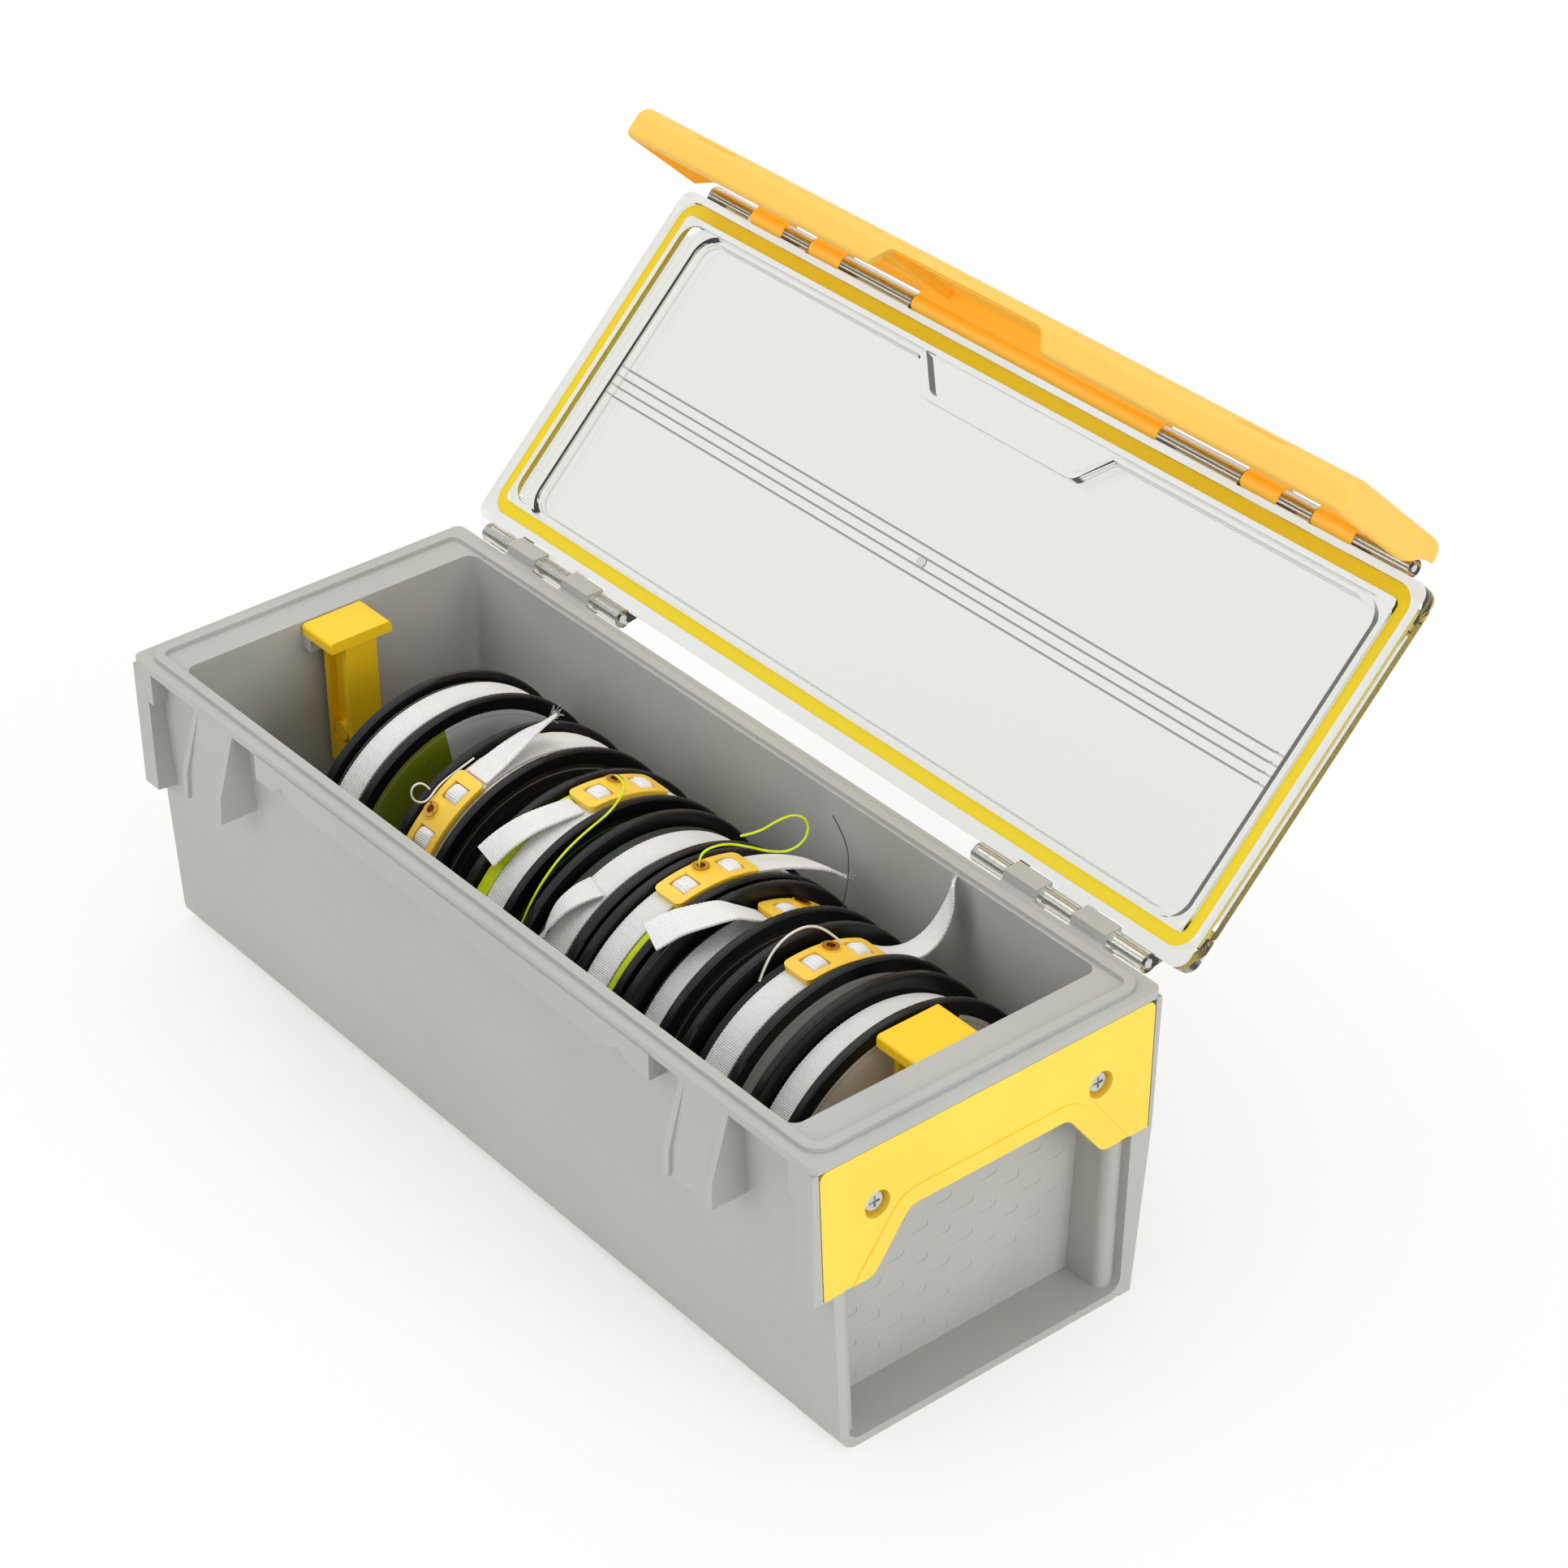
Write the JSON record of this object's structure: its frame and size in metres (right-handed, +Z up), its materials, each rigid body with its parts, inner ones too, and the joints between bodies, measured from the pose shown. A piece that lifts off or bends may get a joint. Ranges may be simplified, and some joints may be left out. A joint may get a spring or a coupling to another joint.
{
  "type": "line spool storage box",
  "caption": "Long grey box with a clear hinged lid, a wide yellow latch, arched end handles and a lift-out axle that carries banded spools of fishing line.",
  "frame": {"origin": "centre of the box's flat bottom face", "axes": "+X along the length, -Y towards the latch side, +Y towards the lid hinge, +Z up"},
  "size_m": [0.36, 0.2594, 0.2516],
  "materials": {
    "body_grey": "fine-textured moulded grey plastic",
    "plate_yellow": "satin moulded yellow plastic",
    "bracket_yellow": "satin moulded deep yellow plastic",
    "lid_clear": "clear moulded plastic",
    "gasket_yellow": "soft yellow rubber",
    "latch_amber": "translucent amber yellow plastic",
    "steel": "bright plated steel",
    "axle_grey": "plain grey plastic rod",
    "spool_black": "semi-gloss black plastic",
    "line_dark": "dark green-black wound line",
    "line_cream": "cream wound line",
    "line_chartreuse": "bright yellow-green wound line",
    "line_black": "black wound line",
    "band_white": "white ribbed woven elastic",
    "clip_yellow": "moulded yellow plastic",
    "brass": "rolled brass"
  },
  "bodies": {
    "box": {"box_body": "body_grey", "handle_plate_left": "plate_yellow", "handle_plate_right": "plate_yellow", "handle_screws": "steel", "hinge_pins": "steel", "rack_rest_left": "body_grey", "rack_rest_right": "body_grey"},
    "lid": {"lid_shell": "lid_clear", "lid_gasket": "gasket_yellow", "latch_pin": "steel"},
    "latch": {"latch": "latch_amber"},
    "rack": {"axle_rod": "axle_grey", "axle_bracket_left": "bracket_yellow", "axle_bracket_right": "bracket_yellow"},
    "spool_1": {"spool_1": "spool_black", "line_1": "line_dark", "band_1": "band_white", "clip_1": "clip_yellow", "eyelet_1": "brass"},
    "spool_2": {"spool_2": "spool_black", "line_2": "line_cream", "band_2": "band_white", "clip_2": "clip_yellow", "eyelet_2": "brass", "line_tail_2": "line_cream"},
    "spool_3": {"spool_3": "spool_black", "line_3": "line_chartreuse", "band_3": "band_white", "clip_3": "clip_yellow", "eyelet_3": "brass", "line_tail_3": "line_chartreuse"},
    "spool_4": {"spool_4": "spool_black", "line_4": "line_dark", "band_4": "band_white", "clip_4": "clip_yellow", "eyelet_4": "brass"},
    "spool_5": {"spool_5": "spool_black", "line_5": "line_chartreuse", "band_5": "band_white", "clip_5": "clip_yellow", "eyelet_5": "brass", "line_tail_5": "line_chartreuse"},
    "spool_6": {"spool_6": "spool_black", "line_6": "line_black", "band_6": "band_white", "clip_6": "clip_yellow", "eyelet_6": "brass", "line_tail_6": "line_dark"},
    "spool_7": {"spool_7": "spool_black", "line_7": "line_black", "band_7": "band_white", "clip_7": "clip_yellow", "eyelet_7": "brass", "line_tail_7": "line_cream"},
    "spool_8": {"spool_8": "spool_black", "line_8": "line_cream", "band_8": "band_white", "clip_8": "clip_yellow", "eyelet_8": "brass"}
  },
  "joints": [
    {"name": "lid_hinge", "type": "hinge", "parent": "box", "child": "lid", "pos_m": [0, 0.0724, 0.1127], "axis": [-1, 0, 0], "range_deg": [-135.6, 0]},
    {"name": "latch_hinge", "type": "hinge", "parent": "lid", "child": "latch", "pos_m": [0, 0.1763, 0.2104], "axis": [-1, 0, 0], "range_deg": [0, 90]},
    {"name": "rack_lift", "type": "slide", "parent": "box", "child": "rack", "axis": [0, 0, 1], "range_m": [0, 0.12]},
    {"name": "spool_1_spin", "type": "hinge", "parent": "rack", "child": "spool_1", "pos_m": [-0.09319, 0, 0.058], "axis": [1, 0, 0], "continuous": true},
    {"name": "spool_2_spin", "type": "hinge", "parent": "rack", "child": "spool_2", "pos_m": [-0.05094, 0, 0.058], "axis": [1, 0, 0], "continuous": true, "deforming": ["band_2", "line_tail_2"]},
    {"name": "spool_3_spin", "type": "hinge", "parent": "rack", "child": "spool_3", "pos_m": [-0.01369, 0, 0.058], "axis": [1, 0, 0], "continuous": true, "deforming": ["band_3", "line_tail_3"]},
    {"name": "spool_4_spin", "type": "hinge", "parent": "rack", "child": "spool_4", "pos_m": [0.01881, 0, 0.058], "axis": [1, 0, 0], "continuous": true, "deforming": ["band_4"]},
    {"name": "spool_5_spin", "type": "hinge", "parent": "rack", "child": "spool_5", "pos_m": [0.04431, 0, 0.058], "axis": [1, 0, 0], "continuous": true, "deforming": ["band_5", "line_tail_5"]},
    {"name": "spool_6_spin", "type": "hinge", "parent": "rack", "child": "spool_6", "pos_m": [0.06781, 0, 0.058], "axis": [1, 0, 0], "continuous": true, "deforming": ["band_6", "line_tail_6"]},
    {"name": "spool_7_spin", "type": "hinge", "parent": "rack", "child": "spool_7", "pos_m": [0.09906, 0, 0.058], "axis": [1, 0, 0], "continuous": true, "deforming": ["band_7", "line_tail_7"]},
    {"name": "spool_8_spin", "type": "hinge", "parent": "rack", "child": "spool_8", "pos_m": [0.12981, 0, 0.058], "axis": [1, 0, 0], "continuous": true}
  ]
}
